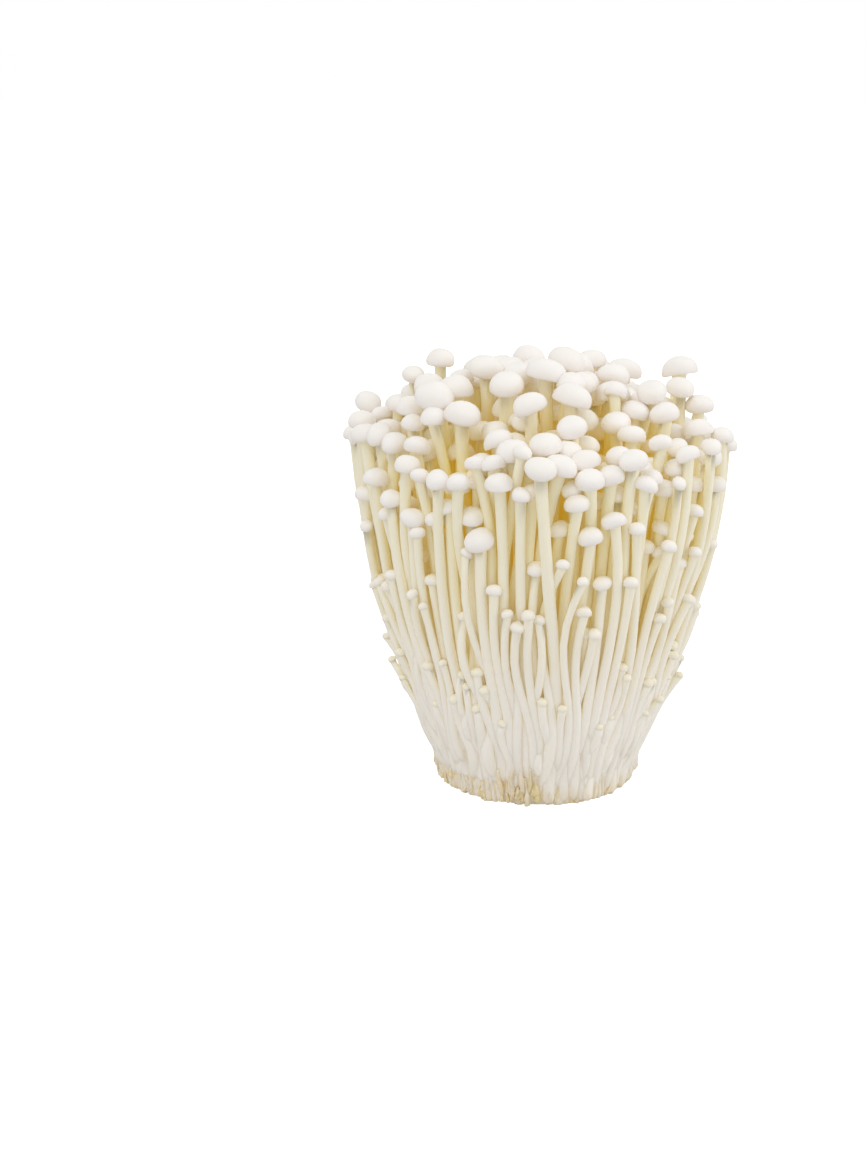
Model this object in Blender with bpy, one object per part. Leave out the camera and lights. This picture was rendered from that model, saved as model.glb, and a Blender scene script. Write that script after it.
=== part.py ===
"""Enoki mushroom bunch: a cut butt of fused stem feet, with tufts of mushrooms standing on it.

Units are metres and +Z is up. The origin is the middle of the butt's cut face, on which the bunch stands.
Every tuft is one solid: a main mushroom with a swollen foot, and two side mushrooms that grow out of
that foot. The stems fan out from the butt to a domed crown and bend round one another on the way up.
"""

import math

import bmesh
import bpy
import numpy as np

# Driving dimensions of the bunch
BUTT_RADIUS = 0.031
BUTT_HEIGHT = 0.008
CROWN_HEIGHT = 0.137
CROWN_RADIUS = 0.0520
DOME_DROP = 0.022
FLARE_EASE = 2.5
AIR_GAP = 0.0004

# Butt: the ripples that the stem feet leave round its side
BUTT_SIDES = 72
BUTT_RIPPLES = 18
RIPPLE_DEPTH = 0.0006

# Tufts, and how far their side mushrooms start from the middle of the foot and end up beside it
TUFTS = 48
TUFT_RING = 0.0276
FOOT_RADIUS = 0.0030
FOOT_HEIGHT = 0.011
FOOT_SOLE = 0.0012
SIDE_OFFSET = 0.0036
SIDE_OFFSET_SPREAD = (0.85, 1.1)
SIDE_START = 0.0009
SIDE_SUNK = 0.0010
SIDE_SUNK_TAPER = 0.8
SPLIT_HEIGHT = 0.014
GOLDEN_ANGLE = math.pi * (3 - math.sqrt(5))
SEED = 16

# Which way the sides stand: the first swings either way of straight out, and the second is turned on from it
FIRST_SIDE_SWING = 1.0
SECOND_SIDE_TURN = (2.2, 4.0)

# How far heads stay under the dome, and how much further towards the rim: mains, first sides, second sides
MAIN_DROP = (0.0, 0.008)
MAIN_RIM_DROP = 0.022
FIRST_SIDE_DROP = (0.012, 0.030)
FIRST_SIDE_RIM_DROP = 0.035
SECOND_SIDE_DROP = (0.004, 0.024)
WIDEST_REACH = 1.05

# The name of each ring of tufts, and how many tufts there are from the middle to its outer edge
TUFT_NAMES = (("middle_tuft", 12), ("crown_tuft", 28), ("rim_tuft", TUFTS))

# Mushrooms: cap and stem radii, how cap size falls with a head's drop under the dome, and how stems bend
CAP_MIDDLE = 0.0062
CAP_RIM = 0.0044
CAP_SHRINK = 0.75
CAP_SPREAD = (0.88, 1.1)
FULL_DROP = 0.075
CAP_DEPTH = 1.3
STEM_BASE = 0.0010
STEM_SHARE = 0.20
BOW = 0.0012
LEAN = 0.0016

# Crowding: the stems are kept apart at levels up the bunch
LEVEL_STEP = 0.003
LEVELS = 45
CROWD_ROUNDS = 300
CROWD_AIR = 0.0014
STIFFNESS = 30.0
HOME_PULL = 0.015
FOOT_HOLD = 80.0
FREE_HOLD = 0.001
TOUCHING = 1e-6
CAP_MARGIN = 0.0010
NEIGHBOURHOOD = 0.008

# How finely the solids are faceted
STEM_STEP = 0.025
TUBE_RESOLUTION = 1
WELD = 0.00002

# Each ring of a cap: how far it is below the top and how wide, in cap radii
CAP_RINGS = ((1.12, 0.80), (0.90, 1.0), (0.45, 0.88), (0.0, 0.42))

CREAM = (0.87, 0.82, 0.70, 1.0)
BUTT_TAN = (0.80, 0.73, 0.58, 1.0)


def clear_scene():
    for obj in list(bpy.data.objects):
        bpy.data.objects.remove(obj)


def new_collection(name):
    made = bpy.data.collections.new(name)
    bpy.context.scene.collection.children.link(made)
    return made


def principled(name, colour, roughness):
    """A plain Principled BSDF of one colour."""
    material = bpy.data.materials.new(name)
    material.use_nodes = True
    shader = material.node_tree.nodes["Principled BSDF"]
    shader.inputs["Base Color"].default_value = colour
    shader.inputs["Roughness"].default_value = roughness
    shader.inputs["Metallic"].default_value = 0.0
    material.diffuse_color = colour
    return material


# --- Where every mushroom grows -------------------------------------------------------------------


def sunflower(count, radius):
    """Points spread evenly over a disc, each turned on from the last by the golden angle."""
    index = np.arange(count)
    reach = radius * np.sqrt((index + 0.5) / count)
    angle = GOLDEN_ANGLE * index
    return np.stack([reach * np.cos(angle), reach * np.sin(angle)], axis=1)


def flare(height):
    """How many times wider than at the butt the bunch is at this height: quick at first, then steeper."""
    share = np.clip((height - BUTT_HEIGHT) / (CROWN_HEIGHT - BUTT_HEIGHT), 0, 1)
    return 1 + (CROWN_RADIUS / TUFT_RING - 1) * (1 - (1 - share) ** FLARE_EASE)


def plan_mushrooms():
    """The plots, heads and sizes of all mushrooms, as arrays: the mains, then first sides, then second sides.

    A plot is the point on the butt that a mushroom belongs over. Its home line is that plot, flared out.
    """
    rng = np.random.default_rng(SEED)
    centres = sunflower(TUFTS, TUFT_RING)
    outward = np.arctan2(centres[:, 1], centres[:, 0])
    rim = np.linalg.norm(centres, axis=1) / BUTT_RADIUS
    first_side = outward + rng.uniform(-FIRST_SIDE_SWING, FIRST_SIDE_SWING, TUFTS)
    second_side = first_side + rng.uniform(*SECOND_SIDE_TURN, TUFTS)
    step = SIDE_OFFSET * rng.uniform(*SIDE_OFFSET_SPREAD, (2, TUFTS))
    plots = [centres]
    for reach, angle in zip(step, (first_side, second_side)):
        plots.append(centres + reach[:, None] * np.stack([np.cos(angle), np.sin(angle)], axis=1))
    drops = [
        rng.uniform(*MAIN_DROP, TUFTS) + rng.uniform(0.0, MAIN_RIM_DROP, TUFTS) * rim**2,
        rng.uniform(*FIRST_SIDE_DROP, TUFTS) + FIRST_SIDE_RIM_DROP * rim**3,
        rng.uniform(*SECOND_SIDE_DROP, TUFTS),
    ]
    plot = np.concatenate(plots)
    drop = np.concatenate(drops)
    reach = np.clip(np.linalg.norm(plot, axis=1) / BUTT_RADIUS, 0, WIDEST_REACH)
    cap = CAP_MIDDLE + (CAP_RIM - CAP_MIDDLE) * reach
    cap = cap * (1 - CAP_SHRINK * drop / FULL_DROP) * rng.uniform(*CAP_SPREAD, len(plot))
    tuft = np.tile(np.arange(TUFTS), 3)
    return {
        "plot": plot,
        "start": centres[tuft] + SIDE_START / SIDE_OFFSET * (plot - centres[tuft]),
        "head": CROWN_HEIGHT - DOME_DROP * reach**2 - drop,
        "cap": cap,
        "stem": STEM_BASE + STEM_SHARE * cap,
        "foot": np.where(np.arange(len(plot)) < TUFTS, FOOT_RADIUS, 0.0),
        "bow": rng.normal(0, BOW, (len(plot), 2)),
        "lean": rng.normal(0, LEAN, (len(plot), 2)),
        "tuft": tuft,
    }


def home_lines(grown, levels):
    """Where every mushroom would stand at every level with no neighbours: flared out, bowed and leaning.

    A side mushroom leaves the middle of its foot over the split height.
    """
    parted = np.clip((levels - levels[0]) / SPLIT_HEIGHT, 0, 1)[None, :, None]
    rise = ((levels - levels[0]) / (CROWN_HEIGHT - levels[0]))[None, :, None]
    line = grown["start"][:, None, :] * (1 - parted) + grown["plot"][:, None, :] * parted
    line = line * flare(levels)[None, :, None]
    return line + grown["bow"][:, None, :] * np.sin(math.pi * rise) + grown["lean"][:, None, :] * rise**2


def section_radii(grown, levels):
    """Every mushroom's radius at every level, from swollen foot to cap, and whether it reaches that level."""
    height = levels[None, :]
    cap, head = grown["cap"][:, None], grown["head"][:, None]
    half = CAP_DEPTH / 2 * cap
    across = 1 - ((height - (head - half)) / (half + CAP_MARGIN)) ** 2
    cap_part = cap * np.sqrt(np.clip(across, 0, 1))
    swelling = np.clip(1 - (height - BUTT_HEIGHT) / FOOT_HEIGHT, 0, 1)
    stem_part = np.maximum(grown["stem"][:, None], grown["foot"][:, None] * swelling)
    return np.maximum(cap_part, stem_part), height <= head + CAP_MARGIN


def stiff_stems(standing):
    """One smoothing matrix a mushroom: it bends evenly, stands fast at its foot, and is free at its head."""
    levels = standing.shape[1]
    weight = np.where(standing, 1.0, FREE_HOLD)
    weight[:, :2] = FOOT_HOLD
    bend = np.diff(np.eye(levels), n=2, axis=0)
    matrix = STIFFNESS * (bend.T @ bend) + weight[:, :, None] * np.eye(levels)
    return np.linalg.inv(matrix) * weight[:, None, :]


def crowd(grown):
    """Moves stems and caps apart until none is in another. Returns the levels and the places at each.

    In each round every two that come too near at a level push each other away, and every stem stays smooth.
    Mushrooms of one tuft are left together below the split height.
    """
    levels = BUTT_HEIGHT + AIR_GAP + LEVEL_STEP * np.arange(LEVELS)
    radii, standing = section_radii(grown, levels)
    home = home_lines(grown, levels)
    stems = stiff_stems(standing)
    first, second = np.triu_indices(len(radii), k=1)
    near = np.linalg.norm(home[first] - home[second], axis=2)
    near = (near < radii[first] + radii[second] + NEIGHBOURHOOD).any(axis=1)
    first, second = first[near], second[near]
    apart = (grown["tuft"][first] != grown["tuft"][second])[:, None] | (levels >= levels[0] + SPLIT_HEIGHT)
    need = (radii[first] + radii[second] + CROWD_AIR) * (apart & standing[first] & standing[second])
    shift = np.zeros_like(home)
    for _ in range(CROWD_ROUNDS):
        between = (home + shift)[first] - (home + shift)[second]
        distance = np.maximum(np.linalg.norm(between, axis=2), TOUCHING)
        push = (0.5 * np.maximum(need - distance, 0) / distance)[:, :, None] * between
        move = np.zeros_like(home)
        np.add.at(move, first, push)
        np.add.at(move, second, -push)
        shift = stems @ ((1 - HOME_PULL) * shift + move)
    return levels, home + shift


# --- The solids -----------------------------------------------------------------------------------


def at_height(levels, place, height):
    """The point of a stem's middle line at this height."""
    return np.array([np.interp(height, levels, place[:, 0]), np.interp(height, levels, place[:, 1]), height])


def mushroom_rings(levels, place, head, cap, stem, foot):
    """The centres and radii of a mushroom's rings, from its foot to the top of its cap.

    A foot of no radius is that of a side mushroom, which starts inside the main one's foot.
    """
    base = levels[0]
    neck = head - CAP_DEPTH * cap
    if foot:
        heights = [base, base + FOOT_SOLE, base + FOOT_HEIGHT]
        radii = [foot, foot, stem]
    else:
        heights = [base + SIDE_SUNK, base + SPLIT_HEIGHT / 2, base + SPLIT_HEIGHT]
        radii = [SIDE_SUNK_TAPER * stem, stem, stem]
    steps = max(1, round((neck - heights[-1]) / STEM_STEP))
    heights += list(np.linspace(heights[-1], neck, steps + 1)[1:])
    radii += [stem] * steps
    centres = [at_height(levels, place, height) for height in heights]
    if foot:
        centres[0][:2] = centres[1][:2]
    lean = at_height(levels, place, neck) - at_height(levels, place, neck - LEVEL_STEP)
    lean = lean / np.linalg.norm(lean)
    for below, wide in CAP_RINGS:
        centres.append(centres[len(heights) - 1] + (CAP_DEPTH - below) * cap * lean)
        radii.append(wide * cap)
    return centres, radii


def weld(mesh):
    """Sews a tube's end caps to its side and turns its faces outward."""
    shape = bmesh.new()
    shape.from_mesh(mesh)
    bmesh.ops.remove_doubles(shape, verts=shape.verts, dist=WELD)
    bmesh.ops.recalc_face_normals(shape, faces=shape.faces)
    shape.to_mesh(mesh)
    shape.free()


def tube(name, centres, radii, collection):
    """A closed round solid through the centres, as wide at each as its radius."""
    curve = bpy.data.curves.new(name, "CURVE")
    curve.dimensions = "3D"
    curve.bevel_depth = 1.0
    curve.bevel_resolution = TUBE_RESOLUTION
    curve.use_fill_caps = True
    spline = curve.splines.new("POLY")
    spline.points.add(len(centres) - 1)
    for point, centre, radius in zip(spline.points, centres, radii):
        point.co = (*centre, 1.0)
        point.radius = radius
    line = bpy.data.objects.new(name + "_line", curve)
    collection.objects.link(line)
    bpy.context.view_layer.update()
    mesh = bpy.data.meshes.new_from_object(line.evaluated_get(bpy.context.evaluated_depsgraph_get()))
    weld(mesh)
    solid = bpy.data.objects.new(name, mesh)
    solid.matrix_world = line.matrix_world
    collection.objects.link(solid)
    bpy.data.objects.remove(line)
    return solid


def grow_together(main, side):
    """Makes one solid of a main mushroom and a side mushroom that starts in its foot."""
    side.display_type = "WIRE"
    modifier = main.modifiers.new("grown_together", "BOOLEAN")
    modifier.operation = "UNION"
    modifier.solver = "EXACT"
    modifier.object = side


def build_tuft(name, members, grown, levels, place, collection, cutters, material):
    """A tuft: the first member is the main mushroom, and the others grow out of its foot."""
    solids = []
    for number, member in enumerate(members):
        sizes = [float(grown[key][member]) for key in ("head", "cap", "stem", "foot")]
        centres, radii = mushroom_rings(levels, place[member], *sizes)
        if number == 0:
            solids.append(tube(name, centres, radii, collection))
        else:
            solids.append(tube(f"{name}_side_{number}", centres, radii, cutters))
    for side in solids[1:]:
        grow_together(solids[0], side)
    solids[0].data.materials.append(material)
    for face in solids[0].data.polygons:
        face.use_smooth = True


def build_butt(collection, material):
    """The plug of pressed stem feet: a round slab with a flat cut face below and a rippled side."""
    bpy.ops.mesh.primitive_cylinder_add(
        vertices=BUTT_SIDES, radius=BUTT_RADIUS, depth=BUTT_HEIGHT, location=(0, 0, BUTT_HEIGHT / 2)
    )
    butt = bpy.context.object
    butt.name = "butt"
    for owner in list(butt.users_collection):
        owner.objects.unlink(butt)
    collection.objects.link(butt)
    for vertex in butt.data.vertices:
        angle = math.atan2(vertex.co.y, vertex.co.x)
        inward = RIPPLE_DEPTH * (1 + math.cos(BUTT_RIPPLES * angle)) / 2
        vertex.co.x -= inward * math.cos(angle)
        vertex.co.y -= inward * math.sin(angle)
    butt.data.materials.append(material)


def tuft_name(index):
    """The tuft's name, from the ring that it stands in and its number in that ring."""
    before = 0
    for name, up_to in TUFT_NAMES:
        if index < up_to:
            return f"{name}_{index - before + 1:02d}"
        before = up_to


clear_scene()
bunch = new_collection("enoki_mushroom_bunch")
side_mushrooms = new_collection("side_mushrooms")
side_mushrooms.hide_render = True
flesh = principled("mushroom_flesh", CREAM, 0.45)
fused_feet = principled("fused_stem_feet", BUTT_TAN, 0.7)

build_butt(bunch, fused_feet)
grown = plan_mushrooms()
levels, place = crowd(grown)
for index in range(TUFTS):
    members = [index, index + TUFTS, index + 2 * TUFTS]
    build_tuft(tuft_name(index), members, grown, levels, place, bunch, side_mushrooms, flesh)
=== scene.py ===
"""Enoki mushroom bunch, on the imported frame: the tufts get their crowd of mushrooms, and the butt its feet.

All lengths are metres. The bunch stands on z = 0 round the Z axis, and the viewer is on the -Y side.
"""

import math

import bpy
import numpy as np
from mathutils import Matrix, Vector


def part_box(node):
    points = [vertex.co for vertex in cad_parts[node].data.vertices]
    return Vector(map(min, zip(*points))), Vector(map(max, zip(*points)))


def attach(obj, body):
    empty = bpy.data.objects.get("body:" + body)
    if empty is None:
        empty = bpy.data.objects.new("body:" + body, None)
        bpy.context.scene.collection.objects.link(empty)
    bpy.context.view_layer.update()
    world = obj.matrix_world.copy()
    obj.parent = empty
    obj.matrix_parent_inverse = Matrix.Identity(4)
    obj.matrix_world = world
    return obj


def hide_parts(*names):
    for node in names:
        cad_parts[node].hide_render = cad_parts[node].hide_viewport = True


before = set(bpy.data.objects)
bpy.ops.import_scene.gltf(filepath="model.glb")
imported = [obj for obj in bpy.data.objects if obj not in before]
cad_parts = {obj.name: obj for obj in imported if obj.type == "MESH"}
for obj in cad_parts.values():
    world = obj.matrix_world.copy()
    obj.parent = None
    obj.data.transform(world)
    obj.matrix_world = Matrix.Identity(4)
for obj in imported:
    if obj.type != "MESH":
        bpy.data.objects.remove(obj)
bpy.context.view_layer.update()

# --- The frame's mushrooms ------------------------------------------------------------------------
# An enoki bunch grows as hundreds of mushrooms from one cake of feet, cut off as the butt. They fan out
# to a dome, and each bends round its neighbours. This section repeats where the frame's own ones stand.

BUTT_RADIUS = 0.031
BUTT_HEIGHT = round(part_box("butt")[1][2], 4)
CROWN_HEIGHT = 0.137
CROWN_RADIUS = 0.0520
DOME_DROP = 0.022
FLARE_EASE = 2.5
AIR_GAP = 0.0004
OUTLINE = 0.0301
FAN = 1.04
LIP_SPREAD = 0.0017
LIP_FADE = 0.014
ROOM_POWER = 5
PAST_HEAD = 1.1

TUFT_NAMES = [name for name in sorted(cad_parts) if "tuft" in name]
TUFTS = len(TUFT_NAMES)
TUFT_RINGS = ("middle_tuft", "crown_tuft", "rim_tuft")
TUFT_RING = 0.0276
FOOT_RADIUS = 0.0030
FOOT_HEIGHT = 0.011
SIDE_OFFSET = 0.0036
SIDE_OFFSET_SPREAD = (0.85, 1.1)
SIDE_START = 0.0009
SPLIT_HEIGHT = 0.014
GOLDEN_ANGLE = math.pi * (3 - math.sqrt(5))
SEED = 16

FIRST_SIDE_SWING = 1.0
SECOND_SIDE_TURN = (2.2, 4.0)
MAIN_DROP = (0.0, 0.008)
MAIN_RIM_DROP = 0.022
FIRST_SIDE_DROP = (0.012, 0.030)
FIRST_SIDE_RIM_DROP = 0.035
SECOND_SIDE_DROP = (0.004, 0.024)
WIDEST_REACH = 1.05

CAP_MIDDLE = 0.0062
CAP_RIM = 0.0044
CAP_SHRINK = 0.75
CAP_SPREAD = (0.88, 1.1)
FULL_DROP = 0.075
CAP_DEPTH = 1.3
STEM_BASE = 0.0010
STEM_SHARE = 0.20
BOW = 0.0012
LEAN = 0.0016

LEVEL_STEP = 0.003
LEVELS = 45
CROWD_ROUNDS = 300
CROWD_AIR = 0.0014
STIFFNESS = 30.0
HOME_PULL = 0.015
FOOT_HOLD = 80.0
FREE_HOLD = 0.001
TOUCHING = 1e-6
CAP_MARGIN = 0.0010
NEIGHBOURHOOD = 0.008
FUSED_HEIGHT = 0.024


def around(angle, reach):
    """Points of a plan, from their angles round the middle and their reaches from it."""
    return np.stack([reach * np.cos(angle), reach * np.sin(angle)], axis=-1)


def sunflower(count, radius):
    """Points spread evenly over a disc, each turned on from the last by the golden angle."""
    index = np.arange(count)
    return around(GOLDEN_ANGLE * index, radius * np.sqrt((index + 0.5) / count))


def flare(height):
    """How many times wider than at the butt the bunch is at this height: quick at first, then steeper."""
    share = np.clip((height - BUTT_HEIGHT) / (CROWN_HEIGHT - BUTT_HEIGHT), 0, 1)
    return 1 + (CROWN_RADIUS / TUFT_RING - 1) * (1 - (1 - share) ** FLARE_EASE)


def outline(height):
    """The reach of the outer stems at this height: a power of the flare, and a spread at the butt's lip."""
    return OUTLINE * flare(height) ** FAN + LIP_SPREAD * np.exp(-(height - BUTT_HEIGHT) / LIP_FADE)


def dome(plot):
    """The height of the crown over a plot: highest in the middle, falling with the square of the reach."""
    reach = np.clip(np.linalg.norm(plot, axis=1) / BUTT_RADIUS, 0, WIDEST_REACH)
    return CROWN_HEIGHT - DOME_DROP * reach**2, reach


def frame_mushrooms():
    """The frame's own mushrooms: a main one and two sides a tuft, as arrays of plots, heads and sizes."""
    rng = np.random.default_rng(SEED)
    centres = sunflower(TUFTS, TUFT_RING)
    outward = np.arctan2(centres[:, 1], centres[:, 0])
    rim = np.linalg.norm(centres, axis=1) / BUTT_RADIUS
    first_side = outward + rng.uniform(-FIRST_SIDE_SWING, FIRST_SIDE_SWING, TUFTS)
    second_side = first_side + rng.uniform(*SECOND_SIDE_TURN, TUFTS)
    step = SIDE_OFFSET * rng.uniform(*SIDE_OFFSET_SPREAD, (2, TUFTS))
    plots = [centres]
    for reach, angle in zip(step, (first_side, second_side)):
        plots.append(centres + around(angle, reach))
    drops = [
        rng.uniform(*MAIN_DROP, TUFTS) + rng.uniform(0.0, MAIN_RIM_DROP, TUFTS) * rim**2,
        rng.uniform(*FIRST_SIDE_DROP, TUFTS) + FIRST_SIDE_RIM_DROP * rim**3,
        rng.uniform(*SECOND_SIDE_DROP, TUFTS),
    ]
    plot = np.concatenate(plots)
    drop = np.concatenate(drops)
    top, reach = dome(plot)
    cap = CAP_MIDDLE + (CAP_RIM - CAP_MIDDLE) * reach
    cap = cap * (1 - CAP_SHRINK * drop / FULL_DROP) * rng.uniform(*CAP_SPREAD, len(plot))
    tuft = np.tile(np.arange(TUFTS), 3)
    count = len(plot)
    return {
        "plot": plot,
        "start": centres[tuft] + SIDE_START / SIDE_OFFSET * (plot - centres[tuft]),
        "head": top - drop,
        "cap": cap,
        "stem": STEM_BASE + STEM_SHARE * cap,
        "foot": np.where(np.arange(count) < TUFTS, FOOT_RADIUS, 0.0),
        "bow": rng.normal(0, BOW, (count, 2)),
        "lean": rng.normal(0, LEAN, (count, 2)),
        "tip": np.zeros((count, 2)),
        "sway": np.zeros((count, 2)),
        "tuft": tuft,
        "firm": np.ones(count),
        "room": np.zeros(count),
    }


def home_lines(grown, levels):
    """Where every mushroom would stand at every level with no neighbours: flared out, bowed and leaning.

    The tip bends a head away by the square of its own height, and the sway adds one full wave on the way.
    """
    parted = np.clip((levels - levels[0]) / SPLIT_HEIGHT, 0, 1)[None, :, None]
    rise = ((levels - levels[0]) / (CROWN_HEIGHT - levels[0]))[None, :, None]
    line = grown["start"][:, None, :] * (1 - parted) + grown["plot"][:, None, :] * parted
    line = line * flare(levels)[None, :, None]
    line = line + grown["bow"][:, None, :] * np.sin(math.pi * rise) + grown["lean"][:, None, :] * rise**2
    own = (levels[None, :] - levels[0]) / (grown["head"][:, None] - levels[0])
    own = np.clip(own, 0, PAST_HEAD)[:, :, None]
    return line + grown["tip"][:, None, :] * own**2 + grown["sway"][:, None, :] * np.sin(2 * math.pi * own)


def section_radii(grown, levels):
    """Every mushroom's radius at every level, from swollen foot to cap, and whether it reaches that level."""
    height = levels[None, :]
    cap, head = grown["cap"][:, None], grown["head"][:, None]
    half = CAP_DEPTH / 2 * cap
    across = 1 - ((height - (head - half)) / (half + CAP_MARGIN)) ** 2
    cap_part = cap * np.sqrt(np.clip(across, 0, 1))
    swelling = np.clip(1 - (height - BUTT_HEIGHT) / FOOT_HEIGHT, 0, 1)
    stem_part = np.maximum(grown["stem"][:, None], grown["foot"][:, None] * swelling)
    return np.maximum(cap_part, stem_part), height <= head + CAP_MARGIN


def stiff_stems(standing):
    """One smoothing matrix a mushroom: it bends evenly, stands fast at its foot, and is free at its head."""
    levels = standing.shape[1]
    weight = np.where(standing, 1.0, FREE_HOLD)
    weight[:, :2] = FOOT_HOLD
    bend = np.diff(np.eye(levels), n=2, axis=0)
    matrix = STIFFNESS * (bend.T @ bend) + weight[:, :, None] * np.eye(levels)
    return np.linalg.inv(matrix) * weight[:, None, :]


def crowd(grown, levels, air, rounds, settled):
    """Moves stems and caps apart until none is in another, and returns every mushroom's place at each level.

    In each round every two that come too near at a level push each other away, and every stem stays smooth.
    The settled ones, which come first in the arrays, keep their places. Soft feet may run into each other.
    Nothing is pushed out past the outline of the bunch, but by the 5th power of its own height into its room.
    """
    radii, standing = section_radii(grown, levels)
    own = np.clip((levels - levels[0]) / (grown["head"][:, None] - levels[0]), 0, 1)
    wall = outline(levels) + grown["room"][:, None] * own**ROOM_POWER - radii
    home = home_lines(grown, levels)
    stems = stiff_stems(standing)
    free = np.arange(len(radii)) >= len(settled)
    first, second = np.triu_indices(len(radii), k=1)
    near = np.linalg.norm(home[first] - home[second], axis=2)
    near = (near < radii[first] + radii[second] + NEIGHBOURHOOD).any(axis=1) & (free[first] | free[second])
    first, second = first[near], second[near]
    apart = (grown["tuft"][first] != grown["tuft"][second])[:, None] | (levels >= levels[0] + SPLIT_HEIGHT)
    above = np.clip((levels - levels[0]) / FUSED_HEIGHT, 0, 1)[None, :]
    firmness = grown["firm"][:, None] + (1 - grown["firm"][:, None]) * above
    hard = radii * firmness
    need = (hard[first] + hard[second] + air) * (apart & standing[first] & standing[second])
    yielding = (free[first] / (free[first] * 1.0 + free[second]))[:, None, None]
    shift = np.zeros_like(home)
    shift[: len(settled)] = settled - home[: len(settled)]
    for _ in range(rounds):
        between = (home + shift)[first] - (home + shift)[second]
        distance = np.maximum(np.linalg.norm(between, axis=2), TOUCHING)
        push = (np.maximum(need - distance, 0) / distance)[:, :, None] * between
        move = np.zeros_like(home)
        np.add.at(move, first, yielding * push)
        np.add.at(move, second, (yielding - 1) * push)
        wanted = home + (1 - HOME_PULL) * shift + move
        reach = np.linalg.norm(wanted, axis=2)
        wanted = wanted * np.minimum(1, wall / np.maximum(reach, TOUCHING))[:, :, None]
        shift[free] = (stems @ (wanted - home))[free]
    return home + shift


levels = BUTT_HEIGHT + AIR_GAP + LEVEL_STEP * np.arange(LEVELS)
grown = frame_mushrooms()
place = crowd(grown, levels, CROWD_AIR, CROWD_ROUNDS, np.zeros((0, LEVELS, 2)))

# --- The mushrooms that grow between them ---------------------------------------------------------
# Between and round those stand the rest: more heads in the crown, short ones that stay in its shade, small
# ones round the rim, thin pins pressed against the outside, and a few strays that lean out of the bunch.

MORE_SEED = 5
MORE_AIR = 0.0002
MORE_ROUNDS = 150
MORE_BOW, MORE_SWAY = 0.0015, 0.0008
THICKEST_NECK = 0.78
SOFT_FOOT = 0.40

FILLERS = 112
FILLER_DISC, FILLER_TURN = 0.0304, 0.7
FILLER_DROP = (0.003, 0.030)
FILLER_CAP, FILLER_CAP_LOSS = 0.0049, 0.0012
FILLER_CAP_SPREAD = (0.72, 1.15)
FILLER_TIP = 0.0022

UNDERGROWTH = 50
UNDERGROWTH_DISC, UNDERGROWTH_TURN = 0.0285, 1.9
UNDERGROWTH_HEAD = (0.058, 0.106)
UNDERGROWTH_CAP = (0.0020, 0.0034)
UNDERGROWTH_TIP = 0.0020

RIM_HEADS = 96
RIM_TURN = 0.4
RIM_REACH = (0.0245, 0.0300)
RIM_SKEW = 0.7
RIM_HEAD, RIM_HEAD_GAIN = 0.078, 0.037
RIM_HEAD_CAP, RIM_HEAD_CAP_GAIN = 0.0022, 0.0018
RIM_CAP_SPREAD = (0.85, 1.2)
RIM_TIP, RIM_OUTWARD = 0.0026, 0.0008

PINS = 156
PIN_JITTER = 0.05
PIN_REACH = (0.0292, 0.0314)
PIN_HEAD, PIN_HEAD_GAIN = 0.026, 0.064
PIN_CAP, PIN_CAP_GAIN = 0.00122, 0.00090
PIN_CAP_SPREAD = (0.85, 1.25)
PIN_BOW, PIN_SWAY = 0.0028, 0.0015
PIN_TIP, PIN_OUTWARD = 0.0024, 0.0014
PIN_ROOM = 0.0022

STRAY_BOW, STRAY_SWAY = 0.0008, 0.0004
STRAY_ROOM = 0.0005
# Each stray's foot by its angle and reach (degrees, mm), its head's x, y and z (mm), its cap's radius (mm)
STRAYS = (
    (184, 29.0, -56, -4, 111, 3.7),
    (190, 28.0, -50, -8, 117, 4.1),
    (172, 28.0, -51, 9, 119, 4.4),
    (166, 25.0, -44, 9, 120, 3.7),
    (155, 21.0, -36, 14, 127, 3.6),
    (148, 17.0, -30, 17, 132, 4.7),
    (200, 18.0, -27, -12, 129, 5.8),
    (14, 21.0, 41, 11, 131, 5.5),
    (2, 22.0, 38, 1, 126, 4.2),
    (8, 27.0, 48, 4, 121, 4.4),
    (4, 28.5, 51, 7, 106, 3.6),
    (350, 29.5, 55, -6, 109, 4.2),
    (204, 31.0, -49, -17, 42, 1.3),
    (207, 31.0, -45, -20, 37, 1.1),
    (340, 31.0, 46, -18, 38, 1.3),
    (332, 31.0, 42, -22, 33, 1.2),
)


def nearest_tuft(plot):
    """The tuft whose foot is nearest to each plot."""
    away = np.linalg.norm(plot[:, None, :] - sunflower(TUFTS, TUFT_RING)[None, :, :], axis=2)
    return np.argmin(away, axis=1)


def extra(plot, head, cap, rng, tip=0.0, outward=0.0, bow=MORE_BOW, sway=MORE_SWAY, room=0.0):
    """More mushrooms in the form of the frame's, each counted with the tuft that it stands nearest to."""
    count = len(plot)
    away = plot / np.linalg.norm(plot, axis=1, keepdims=True)
    return {
        "plot": plot,
        "start": plot,
        "head": head,
        "cap": cap,
        "stem": np.minimum(STEM_BASE + STEM_SHARE * cap, THICKEST_NECK * cap),
        "foot": np.zeros(count),
        "bow": rng.normal(0, bow, (count, 2)),
        "lean": np.zeros((count, 2)),
        "tip": rng.normal(0, 1, (count, 2)) * tip + np.reshape(outward, (-1, 1)) * away,
        "sway": rng.normal(0, sway, (count, 2)),
        "tuft": nearest_tuft(plot),
        "firm": np.full(count, SOFT_FOOT),
        "room": np.full(count, room),
    }


def turned(points, angle):
    """Points turned about the middle of the butt."""
    return points @ np.array([[math.cos(angle), math.sin(angle)], [-math.sin(angle), math.cos(angle)]])


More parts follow.
